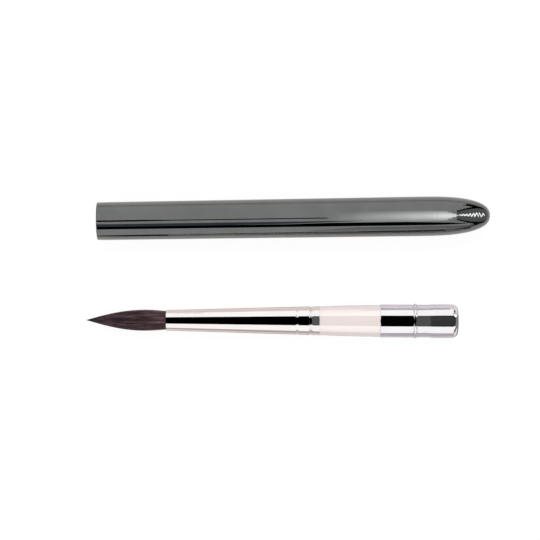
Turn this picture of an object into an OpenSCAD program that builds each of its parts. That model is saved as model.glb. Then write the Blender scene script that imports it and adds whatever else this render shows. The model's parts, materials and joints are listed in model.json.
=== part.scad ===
// Reversible pocket brush laid out beside its case.
// The brush goes into the case hair first for the pocket, or knob first to be used.
// Either way a stop ring on the brush meets the rim of the case.
// Millimetres. +X runs from the hair's tip to the knob, +Z is up, and both halves lie on z = 0:
// the case on its shoulder, and the brush on its stop ring and on what reaches down first in front of it.

/* [Case] */
// Overall length of the case, rim to nose
case_len = 108; // [95:1:140]
// Bore of the liner, which takes either end of the brush
bore_d = 9.2; // [8.6:0.1:12]
// Thickness of the drawn metal shell
case_wall = 0.3; // [0.25:0.05:0.8]
// Thickness of the liner in the mouth
liner_wall = 0.3; // [0.25:0.05:0.8]
// Length of the liner
liner_len = 14; // [8:0.5:20]
// Growth in diameter from the mouth to the shoulder
case_swell = 0.45; // [0:0.05:1.5]
// Length of the straight part between the taper and the nose
shoulder_len = 4; // [1:0.5:20]
// Length of the domed nose
nose_len = 18; // [8:0.5:30]
// Fullness of the nose: 2 is an ellipse, more is blunter
nose_power = 2.5; // [2:0.1:3.5]
// Radius of the rolled rim's outer edge
rim_r = 0.3; // [0.2:0.05:0.5]

/* [Tuft] */
// Length of hair outside the ferrule
hair_out = 22.3; // [14:0.1:32]
// Greatest diameter of the hair
belly_d = 5.86; // [5.7:0.02:7.4]
// Distance from the ferrule's mouth to the widest hair
belly_at = 5.8; // [4:0.1:8]
// Length of hair held in the ferrule
root_len = 9; // [6:0.5:14]
// Thickness of the thread that binds the root
thread_d = 0.16; // [0.1:0.01:0.2]
// Turns of the binding thread
thread_turns = 7; // [3:1:12]
// Depth of set glue behind the root
glue_len = 4; // [2:0.5:8]

/* [Ferrule] */
// Length of the ferrule
ferrule_len = 40.2; // [32:0.1:52]
// Outside diameter at the mouth, where the hair comes out
ferrule_mouth_od = 5.65; // [5.3:0.05:6]
// Outside diameter at the wide end
ferrule_rear_od = 7.95; // [7:0.05:8.4]
// Thickness of the ferrule's metal
ferrule_wall = 0.25; // [0.2:0.05:0.4]
// Depth of the rolled crimp grooves
crimp_depth = 0.15; // [0.05:0.01:0.2]
// Width of a crimp groove
crimp_w = 0.8; // [0.6:0.1:1.6]
// Distance of the front crimp from the ferrule's wide end
front_crimp_at = 4.1; // [2.5:0.1:8]

/* [Grip] */
// Length of the plug's spigot inside the ferrule
plug_in = 10; // [9:0.5:16]
// Length of the plug's flange behind the ferrule
flange_len = 2.1; // [1:0.1:4]
// Length of the plastic collar
collar_len = 16.6; // [8:0.1:30]
// How far the collar's wide end stays below the barrel
collar_step = 0.15; // [0.05:0.01:0.4]
// Length of the barrel that sits in the mouth of the closed case
barrel_len = 9.2; // [5:0.1:14]
// Thickness of the barrel's metal
barrel_wall = 0.6; // [0.3:0.05:1]
// Diameter of the rod that ties the stack together
rod_d = 4; // [3:0.1:5]
// Depth to which the rod screws into the plug and the knob
rod_grip = 8; // [5:0.5:9]

/* [Stop ring and knob] */
// Width of the stop ring
ring_w = 0.9; // [0.6:0.1:2]
// How far the ring stands out past the bore, all round
ring_stop = 0.14; // [0.05:0.01:0.4]
// Length of the knob
knob_len = 11.5; // [9.5:0.1:18]
// Length of the relieved neck beside the ring
neck_len = 3; // [1:0.1:5]
// Length over which the neck rises to the gripping land
neck_rise = 1.6; // [0.5:0.1:3]
// How far the neck lies below the land
neck_step = 0.11; // [0.05:0.01:0.4]
// Rounding of the knob's end
knob_round = 1.6; // [0.5:0.1:3]
// How far the knob's end face bulges
knob_dome = 0.2; // [0.1:0.05:0.5]

/* [Fits] */
// Clearance of the knob's land in the bore, all round
grip_gap = 0.03; // [0.01:0.005:0.05]
// Clearance of the barrel in the bore, all round
barrel_gap = 0.1; // [0.03:0.01:0.2]
// Clearance between fixed pieces that fit in each other, all round
seat_gap = 0.01; // [0.005:0.005:0.03]
// Clearance of the hair's flexing point in the fixed hair, all round
flex_gap = 0.05; // [0.03:0.01:0.1]

/* [Layout] */
// Distance between the axes of the brush and the case, at the middle of the case
axis_gap = 28.2; // [16:0.1:60]
// Turn of the case, seen from above, away from parallel with the brush
case_turn = 1; // [-3:0.1:3]
// How far the case's rim lies behind the hair's tip
rim_behind_tip = 3.3; // [0:0.1:10]

/* [Hidden] */

$fn = 96;
curve_n = 24;          // points along a long curve
arc_n = 8;             // points along a small rounding
crimp_n = 4;           // points along each side of a crimp
thread_fn = 24;        // sides of the thread's section

// Diameters and radii that follow from the bore
bore_r = bore_d / 2;
seat_r = bore_r + liner_wall;
mouth_r = seat_r + case_wall;
case_r = mouth_r + case_swell / 2;
land_r = bore_r - grip_gap;
neck_r = land_r - neck_step;
barrel_r = bore_r - barrel_gap;
ring_r = bore_r + ring_stop;
spigot_r = barrel_r - barrel_wall;

// The case, measured from its rim
shoulder_at = case_len - nose_len - shoulder_len;
nose_at = case_len - nose_len;
nose_wall = 2 * case_wall;

// The brush, measured from the hair's tip
mouth_x = hair_out;
ferrule_end = mouth_x + ferrule_len;
flange_end = ferrule_end + flange_len;
collar_end = flange_end + collar_len;
barrel_end = collar_end + barrel_len;
ring_end = barrel_end + ring_w;
knob_end = ring_end + knob_len;

// The outside of the case from its rim to its nose, as [radius, distance] points
case_outline = concat(
    arc(mouth_r - rim_r, rim_r, rim_r, -90, 0),
    [[case_r, shoulder_at]],
    dome(nose_at, nose_len, case_r));

// The crimps, measured from the ferrule's mouth
front_crimp = ferrule_len - front_crimp_at;
rear_crimp = ferrule_len - crimp_w / 2;

// The root of the tuft
root_r = ferrule_mouth_od / 2 - ferrule_wall - seat_gap;
root_x = mouth_x - belly_at;
root_end = mouth_x + root_len;
thread_pitch = thread_d * 1.15;
thread_back = 1.2;     // bare hair between the last turn and the root's end
thread_at = root_len - thread_back - thread_turns * thread_pitch;
thread_r = ferrule_r(thread_at - thread_d) - ferrule_wall - seat_gap - thread_d / 2;
waist_r = thread_r - thread_d / 2 - seat_gap / 2;
waist_rise = 0.3;      // length over which the root changes to its bound width
glue_lap = 0.8;        // how far the glue laps over the root
swell_len = 0.4;       // hair that spreads from the ferrule's bore to its full width
mouth_share = 0.875;   // width of the hair at the ferrule, as a share of the belly
point_power = 0.95;    // how full the point is: 1 is a plain sine curve
back_power = 1.8;      // how the hair narrows from the belly back to the ferrule
belly_r = belly_d / 2;
flex_angle = 25;       // the point's travel to each side
flex_spare = 2;        // angle by which the fixed hair's cup stays behind that travel

// Small edges
flange_edge = 0.1;     // bevel where the flange meets the ferrule
flange_edge_len = 0.5;
flange_flare = 0.05;   // growth of the flange towards the collar
rod_chamfer = 0.4;
barrel_edge = 0.12;

// Where the two halves lie
tip_x = -(rim_behind_tip + case_len) / 2;
brush_x = tip_x;
case_x = tip_x + rim_behind_tip;
case_mid = case_len / 2;
case_side = max([for (p = case_outline) p[0] * cos(case_turn) + (p[1] - case_mid) * sin(case_turn)]);
total_y = ring_r + axis_gap + case_side;
brush_y = -total_y / 2 + ring_r;
case_y = brush_y + axis_gap;

// The brush leans forward from its ring until the first of these [distance, radius] places touches.
ring_mid = barrel_end + ring_w / 2;
places = [[root_x, belly_r], [flange_end, ferrule_rear_od / 2 + flange_flare],
          [collar_end, barrel_r - collar_step], [collar_end + barrel_edge, barrel_r]];
brush_tilt = atan(min([for (p = places) (ring_r - p[1]) / (ring_mid - p[0])]));

// --- helpers -------------------------------------------------------------------------------------

// Turns a profile of [radius, distance] points about the X axis.
module turned(points) {
    rotate([0, 90, 0]) rotate_extrude() polygon(points);
}

// Points of an arc about [r, x], from angle a to angle b, where 0 points outwards and 90 along +X.
function arc(r, x, radius, a, b, n = arc_n) =
    [for (i = [0:n]) let (t = a + (b - a) * i / n) [r + radius * cos(t), x + radius * sin(t)]];

// A dip that is 1 deep at 0 and ends smoothly at -1 and 1.
function dip(t) = abs(t) >= 1 ? 0 : (1 + cos(180 * t)) / 2;

// Half of a dome that starts at x with a given radius and is closed on the axis after a given length.
function dome(x, length, radius) =
    [for (i = [0:curve_n]) let (t = 90 * i / curve_n)
        [radius * pow(cos(t), 2 / nose_power), x + length * pow(sin(t), 2 / nose_power)]];

// Outer radius of the ferrule at a distance from its mouth, with its two crimps.
function ferrule_r(s) =
    ferrule_mouth_od / 2 + (ferrule_rear_od - ferrule_mouth_od) / 2 * s / ferrule_len
    - crimp_depth / 2 * dip((s - front_crimp) / (crimp_w / 2))
    - crimp_depth * dip((s - rear_crimp) / (crimp_w / 2));

// Distances along the ferrule at which its profile needs a point, from a to its wide end.
function ferrule_steps(a) = concat(
    [a],
    [for (c = [front_crimp, rear_crimp], i = [-crimp_n:crimp_n]) c + i / crimp_n * crimp_w / 2]);

// Radius of the hair at a distance from the tip.
function hair_r(x) = x <= root_x
    ? belly_r * sin(90 * pow(max(x, 0) / root_x, point_power))
    : belly_r * (1 - (1 - mouth_share) * pow((x - root_x) / belly_at, back_power));

// --- case ----------------------------------------------------------------------------------------

module case_shell() {
    color([0.42, 0.44, 0.43])
        turned(concat(
            [[bore_r + seat_gap, 0]],
            case_outline,
            [for (i = [curve_n:-1:0]) dome(nose_at, nose_len - nose_wall, case_r - case_wall)[i]],
            [[case_r - case_wall, shoulder_at],
             [seat_r, case_wall + liner_len],
             [seat_r, case_wall],
             [bore_r + seat_gap, case_wall]]));
}

// Plastic sleeve that grips the brush. The rolled rim holds it in.
module case_liner() {
    color([0.16, 0.16, 0.17])
        turned([[bore_r, case_wall], [seat_r, case_wall],
                [seat_r, case_wall + liner_len], [bore_r, case_wall + liner_len]]);
}

// --- tuft ----------------------------------------------------------------------------------------

// Free end of the hair. It turns on a ball inside the fixed hair, at the widest place.
module tuft_point() {
    color([0.23, 0.16, 0.17])
        turned(concat(
            [for (i = [0:curve_n]) let (x = root_x * i / curve_n) [hair_r(x), x]],
            arc(0, root_x, belly_r, 0, 90)));
}

// Fixed hair: the root in the ferrule and the back of the belly, with a cup for the point's ball.
module tuft_belly() {
    rim_x = root_x + belly_r * sin(flex_angle - flex_spare);
    back_len = mouth_x - swell_len - rim_x;
    color([0.27, 0.19, 0.20])
        difference() {
            turned(concat(
                [[0, rim_x]],
                [for (i = [0:arc_n]) let (x = rim_x + back_len * i / arc_n) [hair_r(x), x]],
                [[root_r, mouth_x], [root_r, mouth_x + thread_at - thread_d - waist_rise],
                 [waist_r, mouth_x + thread_at - thread_d], [waist_r, root_end], [0, root_end]]));
            translate([root_x, 0, 0]) sphere(r = belly_r + flex_gap);
        }
}

// Turns of thread that bind the root.
module root_thread() {
    color([0.86, 0.82, 0.72])
        for (i = [0:thread_turns - 1])
            translate([mouth_x + thread_at + i * thread_pitch, 0, 0])
                rotate([0, 90, 0])
                    rotate_extrude()
                        translate([thread_r, 0]) circle(d = thread_d, $fn = thread_fn);
}

// Set glue that fills the ferrule behind the root and laps round its end.
module root_glue() {
    a = root_len - glue_lap;
    b = root_len + glue_len;
    wall = ferrule_wall + seat_gap;
    color([0.78, 0.62, 0.30])
        turned([[waist_r + seat_gap, mouth_x + a], [ferrule_r(a) - wall, mouth_x + a],
                [ferrule_r(b) - wall, mouth_x + b], [0, mouth_x + b],
                [0, root_end], [waist_r + seat_gap, root_end]]);
}

// --- ferrule and grip ----------------------------------------------------------------------------

module ferrule() {
    steps = ferrule_steps(0);
    last = len(steps) - 1;
    color([0.86, 0.84, 0.83])
        turned(concat(
            [for (s = steps) [ferrule_r(s), mouth_x + s]],
            [for (i = [last:-1:0]) [ferrule_r(steps[i]) - ferrule_wall, mouth_x + steps[i]]]));
}

// Turned plug that fills the ferrule's wide end. Both crimps bite into it.
module ferrule_plug() {
    flange_r = ferrule_rear_od / 2;
    color([0.84, 0.82, 0.81])
        turned(concat(
            [[0, ferrule_end - plug_in]],
            [for (s = ferrule_steps(ferrule_len - plug_in))
                [ferrule_r(s) - ferrule_wall - seat_gap, mouth_x + s]],
            [[flange_r - flange_edge, ferrule_end],
             [flange_r, ferrule_end + flange_edge_len],
             [flange_r + flange_flare, flange_end],
             [rod_d / 2 + seat_gap, flange_end],
             [rod_d / 2 + seat_gap, flange_end - rod_grip], [0, flange_end - rod_grip]]));
}

// Rod that screws into the plug and the knob and clamps the stack between them.
module core_rod() {
    a = flange_end - rod_grip;
    b = ring_end + rod_grip;
    c = rod_chamfer;
    r = rod_d / 2;
    color([0.80, 0.68, 0.36])
        turned([[0, a], [r - c, a], [r, a + c], [r, b - c], [r - c, b], [0, b]]);
}

// Plastic collar. Its spigot carries the barrel and the stop ring.
module collar() {
    front_r = ferrule_rear_od / 2;
    rear_r = barrel_r - collar_step;
    color([0.93, 0.90, 0.88])
        turned(concat(
            [[rod_d / 2 + seat_gap, flange_end]],
            [for (i = [0:curve_n]) let (t = i / curve_n)
                [front_r + (rear_r - front_r) * sin(90 * t), flange_end + collar_len * t]],
            [[spigot_r - seat_gap, collar_end], [spigot_r - seat_gap, ring_end],
             [rod_d / 2 + seat_gap, ring_end]]));
}

module barrel() {
    color([0.86, 0.84, 0.84])
        turned([[spigot_r, collar_end],
                [barrel_r - barrel_edge, collar_end], [barrel_r, collar_end + barrel_edge],
                [barrel_r, barrel_end - barrel_edge], [barrel_r - barrel_edge, barrel_end],
                [spigot_r, barrel_end]]);
}

module stop_ring() {
    half = ring_w / 2;
    color([0.88, 0.87, 0.87])
        turned(concat(
            [[spigot_r, barrel_end]],
            arc(ring_r - half, barrel_end + half, half, -90, 90, 2 * arc_n),
            [[spigot_r, ring_end]]));
}

module knob() {
    land_at = ring_end + neck_len + neck_rise;
    face_r = land_r - knob_round;
    edge_x = knob_end - knob_dome;
    color([0.80, 0.79, 0.79])
        turned(concat(
            [[rod_d / 2 + seat_gap, ring_end], [neck_r, ring_end], [neck_r, ring_end + neck_len],
             [land_r, land_at]],
            arc(face_r, edge_x - knob_round, knob_round, 0, 90),
            [for (i = [1:arc_n]) let (t = i / arc_n)
                [face_r * (1 - t), edge_x + knob_dome * (1 - pow(1 - t, 2))]],
            [[0, ring_end + rod_grip], [rod_d / 2 + seat_gap, ring_end + rod_grip]]));
}

// --- assembly ------------------------------------------------------------------------------------

module in_case() {
    translate([case_x + case_mid, case_y, case_r])
        rotate([0, 0, case_turn])
            translate([-case_mid, 0, 0]) children();
}

module in_brush() {
    translate([brush_x + ring_mid, brush_y, ring_r * cos(brush_tilt)])
        rotate([0, -brush_tilt, 0])
            translate([-ring_mid, 0, 0]) children();
}

in_case() case_shell();
in_case() case_liner();
in_brush() tuft_point();
in_brush() tuft_belly();
in_brush() root_thread();
in_brush() root_glue();
in_brush() ferrule();
in_brush() ferrule_plug();
in_brush() core_rod();
in_brush() collar();
in_brush() barrel();
in_brush() stop_ring();
in_brush() knob();
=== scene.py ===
"""Looks of the reversible pocket brush: metal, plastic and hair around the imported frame."""

import json
import math

import bpy
import numpy as np
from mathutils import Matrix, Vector
from mathutils.bvhtree import BVHTree

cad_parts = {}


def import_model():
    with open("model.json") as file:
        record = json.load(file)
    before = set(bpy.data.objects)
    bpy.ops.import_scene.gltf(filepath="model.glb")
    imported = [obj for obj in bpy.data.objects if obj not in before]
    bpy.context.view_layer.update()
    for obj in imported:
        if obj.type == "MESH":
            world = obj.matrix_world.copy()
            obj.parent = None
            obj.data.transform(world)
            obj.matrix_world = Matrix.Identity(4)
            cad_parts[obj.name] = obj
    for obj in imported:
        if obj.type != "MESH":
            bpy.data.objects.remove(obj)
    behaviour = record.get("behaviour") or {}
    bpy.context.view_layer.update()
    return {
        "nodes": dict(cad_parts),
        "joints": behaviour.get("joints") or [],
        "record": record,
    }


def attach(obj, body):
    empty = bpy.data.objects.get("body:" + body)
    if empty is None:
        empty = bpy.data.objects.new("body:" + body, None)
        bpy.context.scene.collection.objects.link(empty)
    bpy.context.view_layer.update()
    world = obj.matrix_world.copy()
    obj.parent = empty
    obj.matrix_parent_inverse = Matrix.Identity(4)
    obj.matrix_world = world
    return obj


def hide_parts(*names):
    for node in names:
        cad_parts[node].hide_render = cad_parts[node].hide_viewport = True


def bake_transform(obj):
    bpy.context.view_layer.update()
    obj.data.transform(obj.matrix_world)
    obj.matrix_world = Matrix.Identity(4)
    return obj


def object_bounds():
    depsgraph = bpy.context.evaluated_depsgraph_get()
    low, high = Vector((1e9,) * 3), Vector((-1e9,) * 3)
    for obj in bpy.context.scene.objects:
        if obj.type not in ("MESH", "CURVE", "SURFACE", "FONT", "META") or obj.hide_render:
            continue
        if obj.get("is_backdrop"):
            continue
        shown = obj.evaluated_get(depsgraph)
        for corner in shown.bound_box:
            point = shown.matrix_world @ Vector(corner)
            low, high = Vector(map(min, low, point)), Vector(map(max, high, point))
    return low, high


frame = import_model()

MM = 0.001
SEED = 7


# --- where things are --------------------------------------------------------------------------------

class Axis:
    """A straight line through a turned piece. Distances along it and from it are in millimetres."""

    def __init__(self, point, direction):
        self.point = Vector(point)
        self.along = Vector(direction).normalized()
        self.side = Vector((0, 0, 1)).cross(self.along).normalized()
        self.up = self.along.cross(self.side)

    def at(self, s, r=0.0, angle=0.0):
        """The point at distance s and radius r. Angle 0 points up, and a quarter turn points sideways."""
        out = self.up * math.cos(angle) + self.side * math.sin(angle)
        return self.point + (self.along * s + out * r) * MM

    def measure(self, points):
        """Distance along and radius of each of an array of points."""
        d = (np.asarray(points) - np.array(self.point)) / MM
        s = d @ np.array(self.along)
        return s, np.linalg.norm(d - np.outer(s, np.array(self.along)), axis=1)


mounts = {m["name"]: m for m in frame["record"]["mounts"]}
joints = {j["name"]: j for j in frame["joints"]}
case_axis = Axis(mounts["case_bore"]["pos_m"], -Vector(mounts["case_bore"]["axis"]))
brush_axis = Axis(mounts["knob_land"]["pos_m"], mounts["knob_land"]["axis"])


class Turned:
    """The outline of a CAD node that is a body of revolution, read from its mesh."""

    FAR = 40.0         # where a ray from outside starts
    DIRECTIONS = 12    # rays round a station, as a mesh has facets
    INSET = 0.002      # how far a ray stays off the node's end faces
    ON_WALL = 0.03     # a corner this near the wall lies on it

    def __init__(self, node, axis):
        mesh = frame["nodes"][node].data
        self.axis = axis
        self.tree = BVHTree.FromPolygons([v.co for v in mesh.vertices], [p.vertices for p in mesh.polygons])
        self.s, self.r = axis.measure([v.co for v in mesh.vertices])
        self.low, self.high = self.s.min(), self.s.max()

    def reach(self, s, inside=False):
        """The radius at which a ray from outside, or from the axis, meets the node."""
        s = min(max(s, self.low + self.INSET), self.high - self.INSET)
        found = []
        for i in range(self.DIRECTIONS):
            angle = math.tau * i / self.DIRECTIONS
            start = self.axis.at(s, 0 if inside else self.FAR, angle)
            way = (self.axis.at(s, 1, angle) - self.axis.at(s)).normalized()
            hit = self.tree.ray_cast(start, way if inside else -way)
            if hit[0] is not None:
                found.append(hit[3] / MM if inside else self.FAR - hit[3] / MM)
        return max(found) if found else 0.0

    def outline(self, inside=False):
        """[distance, radius] of the corners of the outer, or of the inner, surface, in order."""
        stations = {}
        for s, r in zip(self.s, self.r):
            stations.setdefault(round(float(s), 3), []).append(float(r))
        kept = []
        for s, radii in sorted(stations.items()):
            wall = self.reach(s, inside)
            near = [r for r in radii if abs(r - wall) < self.ON_WALL]
            if near:
                kept.append((s, max(near)))
        return kept


# --- mesh tools --------------------------------------------------------------------------------------

def turn_angles(points):
    """How far an outline turns at each point between its ends."""
    p = np.array(points)
    d = np.diff(p, axis=0)
    heading = np.unwrap(np.arctan2(d[:, 1], d[:, 0]))
    return np.abs(np.diff(heading))


def eased(points, radius, steps=4, least=math.radians(20)):
    """Rounds each corner of an outline that turns by more than the least angle."""
    turns = turn_angles(points)
    made = [points[0]]
    for i in range(1, len(points) - 1):
        if turns[i - 1] < least:
            made.append(points[i])
            continue
        a, b, c = (np.array(points[j]) for j in (i - 1, i, i + 1))
        cut = min(radius, 0.4 * np.linalg.norm(b - a), 0.4 * np.linalg.norm(c - b))
        start = b + (a - b) / np.linalg.norm(a - b) * cut
        end = b + (c - b) / np.linalg.norm(c - b) * cut
        for t in np.linspace(0, 1, steps + 1):
            made.append(tuple((1 - t) ** 2 * start + 2 * t * (1 - t) * b + t ** 2 * end))
    return made + [points[-1]]


def flowing(points, steps=4, most=math.radians(25)):
    """Adds points on a smooth curve through an outline, and leaves its sharp corners as they are."""
    turns = np.concatenate([[math.pi], turn_angles(points), [math.pi]])
    p = [np.array(q) for q in points]
    made = [points[0]]
    for i in range(len(p) - 1):
        a, b = p[i], p[i + 1]
        before = a - (b - a) if turns[i] > most else p[i - 1]
        after = b + (b - a) if turns[i + 1] > most else p[i + 2]
        span = np.linalg.norm(b - a)
        if span > 1e-6:
            ta = (b - before) / max(np.linalg.norm(b - before), 1e-9) * span
            tb = (after - a) / max(np.linalg.norm(after - a), 1e-9) * span
            # A cubic from a to b that leaves and arrives along ta and tb.
            for t in np.linspace(0, 1, steps + 1)[1:-1]:
                h = (2 * t**3 - 3 * t**2 + 1, t**3 - 2 * t**2 + t, -2 * t**3 + 3 * t**2, t**3 - t**2)
                made.append(tuple(h[0] * a + h[1] * ta + h[2] * b + h[3] * tb))
        made.append(tuple(b))
    return made


def new_piece(name, verts, faces, sharp=None):
    """A smooth-shaded object. Edges that turn by more than the sharp angle stay hard."""
    mesh = bpy.data.meshes.new(name)
    mesh.from_pydata(verts, [], faces)
    mesh.validate()
    mesh.polygons.foreach_set("use_smooth", [True] * len(mesh.polygons))
    if sharp is not None:
        mesh.set_sharp_from_angle(angle=sharp)
    obj = bpy.data.objects.new(name, mesh)
    bpy.context.scene.collection.objects.link(obj)
    return obj


def lathe(name, axis, outline, segments=224, closed=False):
    """A surface turned about an axis. An outline that starts or ends on the axis gets a pole there."""
    verts, rings = [], []
    for s, r in outline:
        if r < 1e-4:
            rings.append([len(verts)] * segments)
            verts.append(axis.at(s))
        else:
            first = len(verts)
            rings.append([first + i for i in range(segments)])
            verts += [axis.at(s, r, math.tau * i / segments) for i in range(segments)]
    faces = []
    pairs = list(zip(rings, rings[1:])) + ([(rings[-1], rings[0])] if closed else [])
    for a, b in pairs:
        for i in range(segments):
            j = (i + 1) % segments
            corners = list(dict.fromkeys((a[i], a[j], b[j], b[i])))
            if len(corners) > 2:
                faces.append(corners)
    return new_piece(name, verts, faces, math.radians(50))


# --- materials ---------------------------------------------------------------------------------------

class Nodes:
    """A material's node tree with a Principled shader, and short ways to add to it."""

    def __init__(self, name):
        self.material = bpy.data.materials.new(name)
        self.material.use_nodes = True
        self.tree = self.material.node_tree
        self.shader = self.tree.nodes["Principled BSDF"]

    def set(self, **values):
        for name, value in values.items():
            self.shader.inputs[name.replace("_", " ")].default_value = value

    def add(self, kind, **values):
        node = self.tree.nodes.new("ShaderNode" + kind)
        for name, value in values.items():
            if name in node.inputs:
                node.inputs[name].default_value = value
            else:
                setattr(node, name, value)
        return node

    def join(self, a, b):
        self.tree.links.new(a, b)

    def place(self, scale=(1, 1, 1)):
        """Position in the row frame, stretched."""
        where = self.add("TexCoord")
        mapping = self.add("Mapping", Scale=scale)
        self.join(where.outputs["Object"], mapping.inputs["Vector"])
        return mapping.outputs["Vector"]

    def noise(self, vector, scale, detail=4.0, roughness=0.5):
        node = self.add("TexNoise", Scale=scale, Detail=detail, Roughness=roughness)
        self.join(vector, node.inputs["Vector"])
        return node.outputs["Fac"]

    def between(self, value, low, high, out_low, out_high):
        node = self.add("MapRange")
        for i, number in enumerate((low, high, out_low, out_high)):
            node.inputs[i + 1].default_value = number
        self.join(value, node.inputs[0])
        return node.outputs[0]

    def ramp(self, value, stops):
        node = self.add("ValToRGB")
        ramp = node.color_ramp
        while len(ramp.elements) < len(stops):
            ramp.elements.new(0.5)
        for element, (place, colour) in zip(ramp.elements, stops):
            element.position = place
            element.color = (*colour, 1)
        self.join(value, node.inputs[0])
        return node.outputs[0]

    def bump(self, height, strength, distance):
        node = self.add("Bump", Strength=strength, Distance=distance)
        self.join(height, node.inputs["Height"])
        self.join(node.outputs[0], self.shader.inputs["Normal"])


def metal(name, dull, bright, grain, roughness, metallic=1.0, lacquer=0.0, edge=(1, 1, 1), worn=None):
    """Polished metal: fine marks along or round it, and a faint uneven film that changes colour and gloss.
    Worn metal is less metallic up to a place along X."""
    n = Nodes(name)
    n.set(Metallic=metallic, Specular_Tint=(*edge, 1))
    n.set(Coat_Weight=lacquer, Coat_IOR=1.6, Coat_Roughness=0.03)
    film = n.noise(n.place(), 160, 3)
    marks = n.noise(n.place(grain), 1, 5, 0.6)
    n.join(n.ramp(film, [(0.35, dull), (0.65, bright)]), n.shader.inputs["Base Color"])
    mixed = n.add("Math", operation="MULTIPLY")
    n.join(film, mixed.inputs[0])
    n.join(marks, mixed.inputs[1])
    n.join(n.between(mixed.outputs[0], 0.1, 0.45, *roughness), n.shader.inputs["Roughness"])
    if worn:
        end, share = worn
        parts = n.add("SeparateXYZ")
        n.join(n.place(), parts.inputs[0])
        amount = n.between(parts.outputs["X"], end - 0.2 * MM, end, share, metallic)
        n.join(amount, n.shader.inputs["Metallic"])
    n.bump(marks, 0.02, 0.00002)
    return n.material


def collar_plastic():
    """White plastic that light enters a little, under a clear polish."""
    n = Nodes("collar_plastic")
    n.set(Roughness=0.32, IOR=1.5, Coat_Weight=1.0, Coat_Roughness=0.04, Coat_IOR=2.6)
    n.set(Subsurface_Weight=0.15, Subsurface_Scale=0.002, Subsurface_Radius=(1.0, 0.75, 0.7))
    cloud = n.noise(n.place((1, 3, 3)), 90, 4)
    n.join(n.ramp(cloud, [(0.3, (0.72, 0.644, 0.624)), (0.7, (0.75, 0.67, 0.65))]),
           n.shader.inputs["Base Color"])
    n.bump(n.noise(n.place(), 1800, 2), 0.03, 0.00002)
    return n.material


def dark_plastic():
    """Nearly black plastic with a moulded grain."""
    n = Nodes("liner_plastic")
    n.set(Specular_IOR_Level=0.4)
    grain = n.noise(n.place(), 2500, 3)
    n.join(n.ramp(grain, [(0.3, (0.008, 0.008, 0.009)), (0.7, (0.02, 0.02, 0.022))]),
           n.shader.inputs["Base Color"])
    n.join(n.between(grain, 0.3, 0.7, 0.4, 0.6), n.shader.inputs["Roughness"])
    n.bump(grain, 0.2, 0.00005)
    return n.material


def simple(name, dark, light, scale, roughness, metallic=0.0):
    """A grainy material for a piece that other pieces hide."""
    n = Nodes(name)
    n.set(Metallic=metallic)
    grain = n.noise(n.place(), scale, 4)
    n.join(n.ramp(grain, [(0.35, dark), (0.65, light)]), n.shader.inputs["Base Color"])
    n.join(n.between(grain, 0.3, 0.7, roughness - 0.08, roughness + 0.08), n.shader.inputs["Roughness"])
    n.bump(grain, 0.2, 0.00005)
    return n.material


def hair_material():
    """Dark brown hair. Each hair has its own tone, with painted shade along the tuft's parting and in its
    body's grooves, and the tone wanders a little along it.
    """
    n = Nodes("hair")
    n.set(Specular_IOR_Level=0.6, Sheen_Weight=0.04, Sheen_Roughness=0.4, Sheen_Tint=(0.9, 0.75, 0.8, 1))
    tone_and_shade = n.add("Attribute", attribute_name="tone_and_shade")
    rest = n.add("Attribute", attribute_name="rest")
    stretched = n.add("Mapping", Scale=(150, 1300, 1300))    # along the hair, and across it
    n.join(rest.outputs["Vector"], stretched.inputs["Vector"])
    wander = n.noise(stretched.outputs["Vector"], 1, 4, 0.6)
    mix = n.add("Math", operation="ADD")
    n.join(n.between(wander, 0.34, 0.66, -0.26, 0.34), mix.inputs[0])
    n.join(tone_and_shade.outputs["Fac"], mix.inputs[1])
    colour = n.ramp(mix.outputs[0], [
        (0.0, (0.008, 0.003, 0.008)),
        (0.3, (0.03, 0.012, 0.018)),
        (0.55, (0.072, 0.034, 0.04)),
        (0.8, (0.135, 0.07, 0.072)),
        (1.0, (0.26, 0.16, 0.155))])
    n.join(colour, n.shader.inputs["Base Color"])
    n.join(n.between(wander, 0.3, 0.7, 0.3, 0.44), n.shader.inputs["Roughness"])
    return n.material


ALONG = (250, 9000, 9000)    # grain drawn out along a piece
ROUND = (22000, 700, 700)    # grain drawn out round it
knob_solid = Turned("knob", brush_axis)
NECK_END = brush_axis.at(knob_solid.low + 3.7).x    # on the rise behind the knob's neck
case_metal = metal("dark_metal", (0.105, 0.11, 0.107), (0.125, 0.13, 0.127), ALONG, (0.03, 0.075),
                   lacquer=1.0)
ferrule_metal = metal("ferrule_metal", (0.93, 0.90, 0.885), (0.96, 0.93, 0.915), ALONG, (0.02, 0.06),
                      edge=(0.9, 0.78, 0.76))
ring_metal = metal("ring_metal", (0.90, 0.87, 0.87), (0.94, 0.91, 0.91), ROUND, (0.03, 0.08), 0.93)
barrel_metal = metal("barrel_metal", (0.91, 0.89, 0.91), (0.95, 0.93, 0.95), ROUND, (0.02, 0.06),
                     edge=(0.86, 0.82, 0.88))
knob_metal = metal("knob_metal", (0.88, 0.86, 0.88), (0.92, 0.90, 0.92), ROUND, (0.03, 0.08), 0.975,
                   edge=(0.86, 0.82, 0.88), worn=(NECK_END, 0.945))
hair = hair_material()
white_plastic = collar_plastic()


def dress(obj, material):
    """Gives an object one material."""
    obj.data.materials.clear()
    obj.data.materials.append(material)


def fit_out(obj, material, body, node):
    """Gives a skin its material and its body, and lets it stand for a CAD node."""
    dress(obj, material)
    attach(obj, body)
    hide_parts(node)
    return obj


# --- metal and plastic -------------------------------------------------------------------------------

def case():
    """The shell in one closed skin, with few enough segments for the limit on a piece's faces."""
    shell = Turned("case_shell", case_axis)
    outer = flowing(shell.outline())
    inner = flowing(shell.outline(inside=True))
    piece = lathe("case_shell_skin", case_axis, outer + inner[::-1], segments=160, closed=True)
    fit_out(piece, case_metal, "case", "case_shell")


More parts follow.
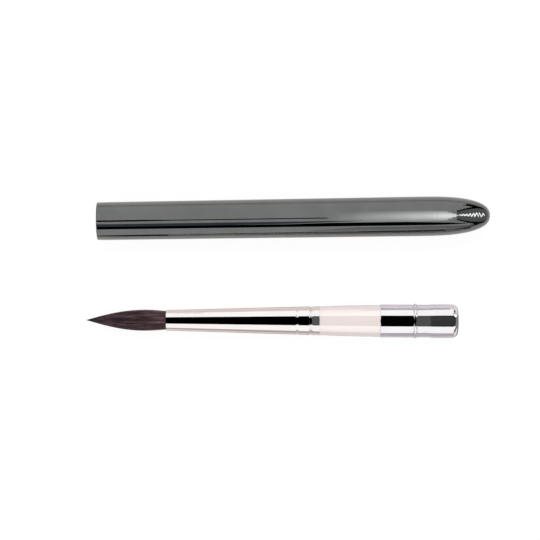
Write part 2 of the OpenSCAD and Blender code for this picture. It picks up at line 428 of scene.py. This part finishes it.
def sharper(outline, factor):
    """Makes the dips below the straight line from the first point to the last deeper, by a factor."""
    (s0, r0), (s1, r1) = outline[0], outline[-1]
    made = []
    for s, r in outline:
        dip = r0 + (r1 - r0) * (s - s0) / (s1 - s0) - r
        made.append((s, r - dip * (factor - 1) if dip > 0.002 else r))
    return made


def sleeve(name, node, material, edge=0.05, deepen=1.0):
    """A tube or ring on the brush: its outside and its inside, with eased edges."""
    solid = Turned(node, brush_axis)
    outer = flowing(sharper(solid.outline(), deepen))
    inner = solid.outline(inside=True)
    outline = eased([*outer, inner[-1], inner[0], outer[0]], edge)[:-1]
    piece = lathe(name, brush_axis, outline, closed=True)
    return fit_out(piece, material, "brush", node)


def solid_of(name, node, material, edge=0.05, core=2.0):
    """A turned piece that shows only its outside. Its ends reach in to the core's radius."""
    outer = flowing(Turned(node, brush_axis).outline())
    outline = [(outer[0][0], core), *outer]
    if outer[-1][1] > core:
        outline.append((outer[-1][0], core))
    piece = lathe(name, brush_axis, eased(outline, edge))
    return fit_out(piece, material, "brush", node)


case()
sleeve("ferrule_skin", "ferrule", ferrule_metal, 0.04, deepen=1.8)
solid_of("ferrule_plug_skin", "ferrule_plug", ring_metal)
solid_of("collar_skin", "collar", white_plastic)
sleeve("barrel_skin", "barrel", barrel_metal)
sleeve("stop_ring_skin", "stop_ring", barrel_metal)
solid_of("knob_skin", "knob", knob_metal)

dress(frame["nodes"]["case_liner"], dark_plastic())
dress(frame["nodes"]["core_rod"],
      simple("core_metal", (0.62, 0.45, 0.16), (0.78, 0.6, 0.27), 900, 0.3, metallic=1.0))
dress(frame["nodes"]["root_thread"],
      simple("thread", (0.5, 0.46, 0.36), (0.75, 0.7, 0.58), 6000, 0.8))
dress(frame["nodes"]["root_glue"],
      simple("glue", (0.4, 0.24, 0.06), (0.6, 0.4, 0.13), 700, 0.3))


# --- hair --------------------------------------------------------------------------------------------

# Sizes in mm.
SUNK = 0.02           # how far the outer hairs stay inside their CAD solid
CORE_BELOW = 0.16     # how far the body of the tuft lies under its outer hairs
HAIR_R = 0.05         # radius of a hair
HAIRS = 1100
ROUNDS = 7            # times that the row of hairs goes round the root
END_SPREAD = 0.20     # how far from the tip hairs end, usually and at most, as shares of the tuft
END_MOST = 0.62
TO_TIP = 4            # one hair in this many ends at the tip
LOCKS = 34            # locks that the hairs gather in
HELD = 0.9            # how far a hair reaches into the ferrule
RINGS = 22            # rings along a hair
SIDES = 3             # sides of a hair
RIDGES = 60           # ridges round the body of the tuft
RIDGE_LOW = 0.955     # depth of the lowest ridge, as a share of the radius

point_solid = Turned("tuft_point", brush_axis)
belly_solid = Turned("tuft_belly", brush_axis)
ferrule_solid = Turned("ferrule", brush_axis)
tip_s = point_solid.low
mouth_s = ferrule_solid.low
turn_s = float(brush_axis.measure([joints["tuft_flex"]["pos_m"]])[0][0])

knots = [(s, r) for s, r in point_solid.outline() if s <= turn_s + 0.01]
knots += [(s, r) for s, r in belly_solid.outline() if turn_s + 0.3 < s < mouth_s - 0.3]
knot_s = np.array([k[0] for k in knots])
knot_r = np.array([k[1] for k in knots])
mouth_in = belly_solid.reach(mouth_s + 1)


def width(s):
    """Radius of the tuft, hairs included, at distances along the brush. It swells out of the ferrule."""
    free = np.interp(s, knot_s, knot_r) - SUNK * np.clip((s - tip_s) / 2.5, 0.35, 1)
    held = np.clip((mouth_s - s) / 0.35, 0, 1)
    return mouth_in + (free - mouth_in) * held * (2 - held)


def apart(a, b):
    """The angle from a to b, at most half a turn either way."""
    return np.angle(np.exp(1j * (b - a)))


def hair_run(i, locks, rng):
    """One hair from the ferrule to its end. At each ring: the distance along the brush, the radius and the
    angle of its middle, its own radius and its tone, with painted shade in it."""
    length = mouth_s - tip_s
    layer = rng.uniform(0.80, 1.0) ** 0.6
    angle = math.tau * (i + rng.uniform(-0.5, 0.5)) / HAIRS * ROUNDS
    end = tip_s + length * min(abs(rng.normal(0, END_SPREAD)), END_MOST)
    if i % TO_TIP == 0:
        end = tip_s + rng.uniform(0, 0.4)
    # It is drawn towards the nearest lock, and sways on its way.
    lock = locks[np.argmin(np.abs(apart(angle, locks)))]
    pull = float(apart(angle, lock)) * rng.uniform(0.25, 0.75)
    t = np.linspace(0, 1, RINGS)
    s = (mouth_s + HELD) + (end - mouth_s - HELD) * t
    free = np.clip((mouth_s - s) / length, 0, 1)    # 0 at the ferrule and 1 at the tuft's tip
    arch = np.sin(math.pi * free)
    sway = rng.normal(0, 0.05) * arch + rng.normal(0, 0.02) * np.sin(3 * math.pi * free)
    lift = 1 + rng.normal(0, 0.012) * arch
    radius = (width(s) - HAIR_R) * layer * lift
    thick = HAIR_R * rng.uniform(0.7, 1.15) * np.clip((1 - t) / 0.22, 0.12, 1) ** 0.7
    # It is darker towards the tip and at the root. Along a parting on top it is darker still: painted shade
    # for the gap between locks.
    parting_shade = np.exp(-(math.remainder(angle - 0.08, math.tau) / 0.28) ** 2) * arch ** 2
    darker = 0.32 * free ** 2 + 0.06 * (1 - free) ** 3 + 0.4 * parting_shade
    tone_and_shade = np.clip(rng.normal(0.48, 0.2) - darker, 0, 1)
    return s, np.maximum(radius, 0.0), angle + pull * free ** 1.5 + sway, thick, tone_and_shade


def tube_faces(first):
    """Faces of one hair, whose rings of points start at the given number."""
    faces = []
    for low in range(first, first + (RINGS - 1) * SIDES, SIDES):
        high = low + SIDES
        for m in range(SIDES):
            n = (m + 1) % SIDES
            faces.append((low + m, low + n, high + n, high + m))
    faces.append(tuple(range(first, first + SIDES))[::-1])
    faces.append(tuple(range(first + (RINGS - 1) * SIDES, first + RINGS * SIDES)))
    return faces


def hair_strands():
    """All the hairs in one piece, with a tone that holds painted shade, and a place at rest, for each point.
    """
    rng = np.random.default_rng(SEED)
    along, up, side = (np.array(v) for v in (brush_axis.along, brush_axis.up, brush_axis.side))
    verts, faces, tones_and_shades, rests = [], [], [], []
    locks = rng.uniform(0, math.tau, LOCKS)
    for i in range(HAIRS):
        run = hair_run(i, locks, rng)
        faces += tube_faces(len(verts))
        turn = rng.uniform(0, math.tau)
        for s, radius, angle, thick, tone_and_shade in zip(*run):
            centre = np.array(brush_axis.at(s, radius, angle))
            out = up * math.cos(angle) + side * math.sin(angle)
            across = np.cross(along, out)
            for m in range(SIDES):
                q = turn + math.tau * m / SIDES
                verts.append(centre + (out * math.cos(q) + across * math.sin(q)) * thick * MM)
                tones_and_shades.append(tone_and_shade)
                rests.append(centre)
    return new_piece("hair_strands", verts, faces), tones_and_shades, rests


def hair_core():
    """The body of the tuft under its outer hairs, ridged lengthwise."""
    root_s = belly_solid.high
    stations = [*np.linspace(tip_s + 0.25, mouth_s, 60), mouth_s + 0.3, root_s]
    outline = [(tip_s + 0.15, 0.0)]
    outline += [(s, max(width(s) - CORE_BELOW, 0.02)) for s in stations]
    outline += [(root_s, 0.0)]
    piece = lathe("hair_core", brush_axis, outline, 180)
    rng = np.random.default_rng(SEED + 1)
    ridges = rng.uniform(RIDGE_LOW, 1.0, RIDGES)
    tones_and_shades, rests = [], []
    for v in piece.data.vertices:
        d = v.co - brush_axis.point
        s = d.dot(brush_axis.along)
        off = d - brush_axis.along * s
        angle = math.atan2(off.dot(brush_axis.side), off.dot(brush_axis.up)) % math.tau
        place = angle / math.tau * RIDGES
        low, part = int(place) % RIDGES, place % 1
        ridge = ridges[low] * (1 - part) + ridges[(low + 1) % RIDGES] * part
        if s / MM < mouth_s:
            v.co = brush_axis.point + brush_axis.along * s + off * ridge
        # Painted shade: the body is darker than the hairs over it, and darker still where its ridges are low.
        tones_and_shades.append(0.08 + 0.25 * (ridge - RIDGE_LOW) / (1 - RIDGE_LOW))
        rests.append(tuple(v.co))
    return piece, tones_and_shades, rests


def store(piece, tones_and_shades, rests):
    """Keeps each point's tone, painted shade included, and its place at rest, so that the look stays with the
    hair when it bends.
    """
    mesh = piece.data
    tone_and_shade = mesh.attributes.new("tone_and_shade", "FLOAT", "POINT")
    tone_and_shade.data.foreach_set("value", np.array(tones_and_shades, np.float32))
    rest = mesh.attributes.new("rest", "FLOAT_VECTOR", "POINT")
    rest.data.foreach_set("vector", np.array(rests, np.float32).ravel())


for made in (hair_core(), hair_strands()):
    store(*made)
    dress(made[0], hair)
    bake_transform(made[0])
    if made[0].name == "hair_core":
        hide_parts("tuft_point", "tuft_belly")


# --- stage -------------------------------------------------------------------------------------------

def floor_material(dark, light):
    """Shaded, faintly pink paper that the camera sees nearly white, with the object's shadow in it."""
    n = Nodes("floor")
    n.set(Roughness=0.9, Specular_IOR_Level=0.1)
    grain = n.noise(n.place(), 30, 2)
    n.join(n.ramp(grain, [(0.3, dark), (0.7, light)]), n.shader.inputs["Base Color"])
    path = n.add("LightPath")
    glow = n.add("Emission", Strength=1.08)
    mix = n.add("MixShader")
    share = n.add("Math", operation="MULTIPLY")
    share.inputs[1].default_value = 0.85
    n.join(path.outputs["Is Camera Ray"], share.inputs[0])
    n.join(share.outputs[0], mix.inputs[0])
    n.join(n.shader.outputs[0], mix.inputs[1])
    n.join(glow.outputs[0], mix.inputs[2])
    n.join(mix.outputs[0], n.tree.nodes["Material Output"].inputs["Surface"])
    return n.material


def lamp_power(n, strength, start, full, middle, half):
    """The power of a lamp that grows out of the plain level, from start to full along X, and that fades to it
    on both sides of a middle Y."""
    parts = n.add("SeparateXYZ")
    n.join(n.place(), parts.inputs[0])
    off = n.add("Math", operation="SUBTRACT")
    off.inputs[1].default_value = middle * MM
    n.join(parts.outputs["Y"], off.inputs[0])
    away = n.add("Math", operation="ABSOLUTE")
    n.join(off.outputs[0], away.inputs[0])
    power = n.add("Math", operation="MULTIPLY_ADD")
    power.inputs[2].default_value = 1.0
    n.join(n.between(parts.outputs["X"], start * MM, full * MM, 0.0, strength - 1), power.inputs[0])
    n.join(n.between(away.outputs[0], half * MM, 0.15 * half * MM, 0.0, 1.0), power.inputs[1])
    return power.outputs[0]


def card(name, pairs, strength, colour=(1, 1, 1), lamp=None, one_sided=False):
    """A glowing or dark ribbon between pairs of points, in millimetres, that only reflections see. A lamp has
    its own fading power, and a one-sided card is clear from behind."""
    points = [Vector(q) * MM for pair in pairs for q in pair]
    obj = new_piece(name, points, [(i, i + 1, i + 3, i + 2) for i in range(0, len(points) - 2, 2)])
    n = Nodes(name)
    glow = n.add("Emission", Color=(*colour, 1), Strength=strength)
    if lamp:
        n.join(lamp_power(n, strength, **lamp), glow.inputs["Strength"])
    look = glow.outputs[0]
    if one_sided:
        mix = n.add("MixShader")
        n.join(n.add("NewGeometry").outputs["Backfacing"], mix.inputs[0])
        n.join(look, mix.inputs[1])
        n.join(n.add("BsdfTransparent").outputs[0], mix.inputs[2])
        look = mix.outputs[0]
    n.join(look, n.tree.nodes["Material Output"].inputs["Surface"])
    dress(obj, n.material)
    obj.visible_camera = obj.visible_diffuse = obj.visible_shadow = obj.visible_transmission = False
    obj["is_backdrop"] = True
    return obj


def area_light(name, place, size, watts):
    """A large soft lamp, turned to the middle of the object, that reflections don't see."""
    data = bpy.data.lights.new(name, "AREA")
    data.shape = "RECTANGLE"
    data.size, data.size_y = size
    data.energy = watts
    lamp = bpy.data.objects.new(name, data)
    lamp.location = place
    lamp.rotation_mode = "QUATERNION"
    lamp.rotation_quaternion = (-Vector(place)).to_track_quat("-Z", "Y")
    lamp.visible_glossy = False
    bpy.context.scene.collection.objects.link(lamp)


def world():
    """Plain white that the camera and the reflections see, and a dimmer fill for the rest."""
    made = bpy.data.worlds.new("studio")
    bpy.context.scene.world = made
    made.use_nodes = True
    tree = made.node_tree
    path = tree.nodes.new("ShaderNodeLightPath")
    seen = tree.nodes.new("ShaderNodeBackground")
    seen.inputs["Color"].default_value = (1, 1, 1, 1)
    seen.inputs["Strength"].default_value = 1.0
    fill = tree.nodes.new("ShaderNodeBackground")
    fill.inputs["Color"].default_value = (1, 0.995, 0.99, 1)
    fill.inputs["Strength"].default_value = 0.55
    either = tree.nodes.new("ShaderNodeMath")
    either.operation = "MAXIMUM"
    mix = tree.nodes.new("ShaderNodeMixShader")
    tree.links.new(path.outputs["Is Camera Ray"], either.inputs[0])
    tree.links.new(path.outputs["Is Glossy Ray"], either.inputs[1])
    tree.links.new(either.outputs[0], mix.inputs[0])
    tree.links.new(fill.outputs[0], mix.inputs[1])
    tree.links.new(seen.outputs[0], mix.inputs[2])
    tree.links.new(mix.outputs[0], tree.nodes["World Output"].inputs["Surface"])


FLOOR_HALF, FLOOR_Z = 1500, -0.02    # the floor lies just under the hair
floor = new_piece("floor", [Vector((x * FLOOR_HALF, y * FLOOR_HALF, FLOOR_Z)) * MM
                            for x, y in ((-1, -1), (1, -1), (1, 1), (-1, 1))], [(0, 1, 2, 3)])
dress(floor, floor_material((0.55, 0.535, 0.53), (0.57, 0.555, 0.55)))
floor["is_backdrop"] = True
world()
area_light("key", (-0.1, 0.45, 0.55), (0.9, 0.4), 4.6)
area_light("fill", (0.1, -0.45, 0.55), (0.9, 0.4), 3.2)


# --- camera ------------------------------------------------------------------------------------------

case_y, case_z = case_axis.point.y / MM, case_axis.point.z / MM
brush_y, brush_z = brush_axis.point.y / MM, brush_axis.point.z / MM

FRAME_MM = 148.5      # what the picture's width shows at the height of the case's axis
LENS, SENSOR = 150.0, 36.0
camera_data = bpy.data.cameras.new("camera")
camera_data.lens, camera_data.sensor_width = LENS, SENSOR
camera_data.clip_end = 10
camera = bpy.data.objects.new("camera", camera_data)
camera.location = Vector((-4.78, -0.82, case_z + FRAME_MM * LENS / SENSOR)) * MM
camera.rotation_euler = (0, 0, math.radians(0.14))
bpy.context.scene.collection.objects.link(camera)
bpy.context.scene.camera = camera
bpy.context.scene.view_settings.view_transform = "Standard"


# --- what the metal reflects -------------------------------------------------------------------------

# Seen from straight above, a level tube shows what stands over it, at twice the angle by which its surface
# leans there. Most cards run along X and are given by their edges at a few X. All is in millimetres.
LEFT, RIGHT = -190, 300

shell_outline = Turned("case_shell", case_axis).outline()
case_s = np.array([q[0] for q in shell_outline])
case_r = np.array([q[1] for q in shell_outline])
nose_s = case_s[-1]
knob_end = brush_axis.at(knob_solid.high).x / MM


def reflected(s, off, far):
    """The place that the camera sees mirrored in the case, at distance s from its bore mount and off
    sideways. It lies a distance far along the mirrored ray."""
    step = 0.2
    here, ahead = np.interp([s, s + step], case_s, case_r)
    angle = math.asin(max(-1.0, min(1.0, off / here)))
    place = case_axis.at(s, here, angle)
    out = (case_axis.at(s, 1, angle) - case_axis.at(s)).normalized()
    normal = (out - case_axis.along * ((ahead - here) / step)).normalized()
    ray = (place - camera.location).normalized()
    ray -= normal * 2 * ray.dot(normal)
    return (place + ray * far * MM) / MM


# A dark card leans over the brush, low on the case's side. The brush shows it as its black band, and the case
# as a black line whose width follows the card's low edge.
DARK_SLOPE = math.tan(math.radians(37))
DARK_TOP = 52


def over_brush(x, height, side):
    """A place over the brush, at the edge of its black band as the camera sees it."""
    return (x, brush_y + side * DARK_SLOPE * height, brush_z + height)


low_edge = [(LEFT, 19.8), (-34, 19.8), (0, 20.5), (12, 22), (34, 22), (48, 19.5), (62, 14.2), (RIGHT, 14.2)]
card("dark_card", [(over_brush(x, low, 1), over_brush(x, DARK_TOP, -1)) for x, low in low_edge], 0.0)

# Over the case: a grey band that narrows to the nose, and a black strip near the mouth.
GREY_HIGH, STRIP_HIGH = 72, 66
card("grey_card", [((x, case_y - 24, GREY_HIGH), (x, case_y - 24 - wide, GREY_HIGH))
                   for x, wide in ((LEFT, 29), (-34, 29), (0, 18), (24, 1))], 0.2, (0.75, 0.9, 1.1))
card("seam_strip", [((x, case_y + 0.6 + wide, STRIP_HIGH), (x, case_y - 5 - wide, STRIP_HIGH))
                    for x, wide in ((LEFT, 2.2), (-44, 2.2), (-34, 0), (12, 0))], 0.0)


STAND_OFF = 12     # from the brush's axis to the cards beside it


def beside(name, side, rows, light, colour=(1, 1, 1), to_brush=True):
    """An upright card beside the brush, from a low to a high edge at each X. It shines one way only."""
    y = brush_y + side * STAND_OFF
    pairs = [((x, y, low), (x, y, high)) for x, low, high in rows]
    card(name, pairs[::-1] if (side > 0) == to_brush else pairs, light, colour, one_sided=True)


def girth_line(x):
    """Height of the line between grey and bright beside the brush, which rises with the brush's girth."""
    return 6.2 + 0.037 * x


# The ferrule, in front, reflects warmer paper than the barrel and the knob.
for place, side, dim in (("far", 1, 0.70), ("near", -1, 0.44)):
    for part, start, end, colour in (("front", -70, 20, (1, 0.87, 0.86)), ("rear", 20, 49, (1, 0.94, 1))):
        name = part + "_" + place
        beside("low_" + name, side, [(x, 0.0, girth_line(x)) for x in (start, end)], dim, colour)
        beside("high_" + name, side, [(x, girth_line(x), 13.0) for x in (start, end)], 1.0)

# What the case sees of the brush's side of the table, and of the other side.
beside("line_to_case", 1, [(-36, 6.8, 7.5), (-24, 6.3, 7.9), (20, 5.6, 8.8), (45, 6.0, 10.0), (58, 7.5, 8.5)],
       0.12, to_brush=False)
beside("grey_to_case", 1, [(4, 9.5, 10), (20, 9.2, 17), (46, 10, 18), (60, 10, 12)], 0.55, to_brush=False)
card("line_beyond_case", [((x, case_y + 14, 6.3), (x, case_y + 14, 7.0)) for x in (-60, 60)], 0.45)

# Shade on and over the paper behind the knob.
card("knob_shade", [((knob_end + back, brush_y - 8, high), (knob_end + back, brush_y + 5, high))
                    for back, high in ((0.3, 0.1), (12, 0.1), (12, 15))], 0.22)

# The lamp over the nose, which ends in a point.
LAMP_FAR = 125
card("nose_lamp", [(reflected(nose_s - back, -half, LAMP_FAR), reflected(nose_s - back, half, LAMP_FAR))
                   for back, half in ((60, 1.9), (30, 1.9), (18, 1.7), (13, 1.4), (11, 0.8), (9.6, 0.1))],
     4.2, lamp={"start": 14, "full": 60, "middle": case_y, "half": 66})

# A window beyond the nose, as the nose shows it: a dim pane in a dark frame, with bright blinds in front.
WINDOW_AT, WINDOW_LEN = nose_s - 9.6, 8.9
PANE_FAR, FRAME_FAR, SIDE_FAR, BLINDS_FAR = 72, 64, 60, 54


def window_edge(t, share):
    """Distance along and off sideways of a place on the nose, t along the window and a share of its width."""
    return WINDOW_AT + WINDOW_LEN * t, (1.2 + 1.9 * t) * (1 - t ** 4) ** 0.6 * share


def window(name, rows, far, strength):
    """A part of the window, given by where the nose shows its two edges."""
    card(name, [(reflected(*window_edge(t, low), far), reflected(*window_edge(t, high), far))
                for t, low, high in rows], strength)


window_run = np.linspace(0.0, 0.98, 18)
pane_edges = np.linspace(-0.97, 0.97, 9)
for i, (low, high) in enumerate(zip(pane_edges, pane_edges[1:])):
    window("window_pane_%d" % i, [(t, low, high) for t in window_run], PANE_FAR, 0.42)
window("window_frame_a", [(t, 0.86, 1.1) for t in window_run], FRAME_FAR, 0.0)
window("window_frame_b", [(t, -1.1, -0.86) for t in window_run], FRAME_FAR, 0.0)
window("window_side", [(0.0, -1, 1), (0.05, -1, 1)], SIDE_FAR, 0.0)

zigzag = [-0.14, 0.06] * 3 + [-0.2, 0.1, -0.25, 0.12, -0.3, 0.15, -0.3, 0.15, -0.32, 0.1, -0.2]
window("blinds", [(t, low, low + 0.24) for t, low in zip(np.linspace(0.06, 0.86, len(zigzag)), zigzag)],
       BLINDS_FAR, 6.0)

# The dark room beyond both ends of the table.
ROOM_FAR, ROOM_HIGH, ROOM_HALF = 300, 90, 1.1
for name, middle in (("room_right", 0.0), ("room_left", math.pi)):
    wall = [(ROOM_FAR * math.cos(a), ROOM_FAR * math.sin(a))
            for a in np.linspace(middle - ROOM_HALF, middle + ROOM_HALF, 25)]
    card(name, [((x, y, 0), (x, y, ROOM_HIGH)) for x, y in wall], 0.0)


# --- size --------------------------------------------------------------------------------------------

low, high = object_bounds()
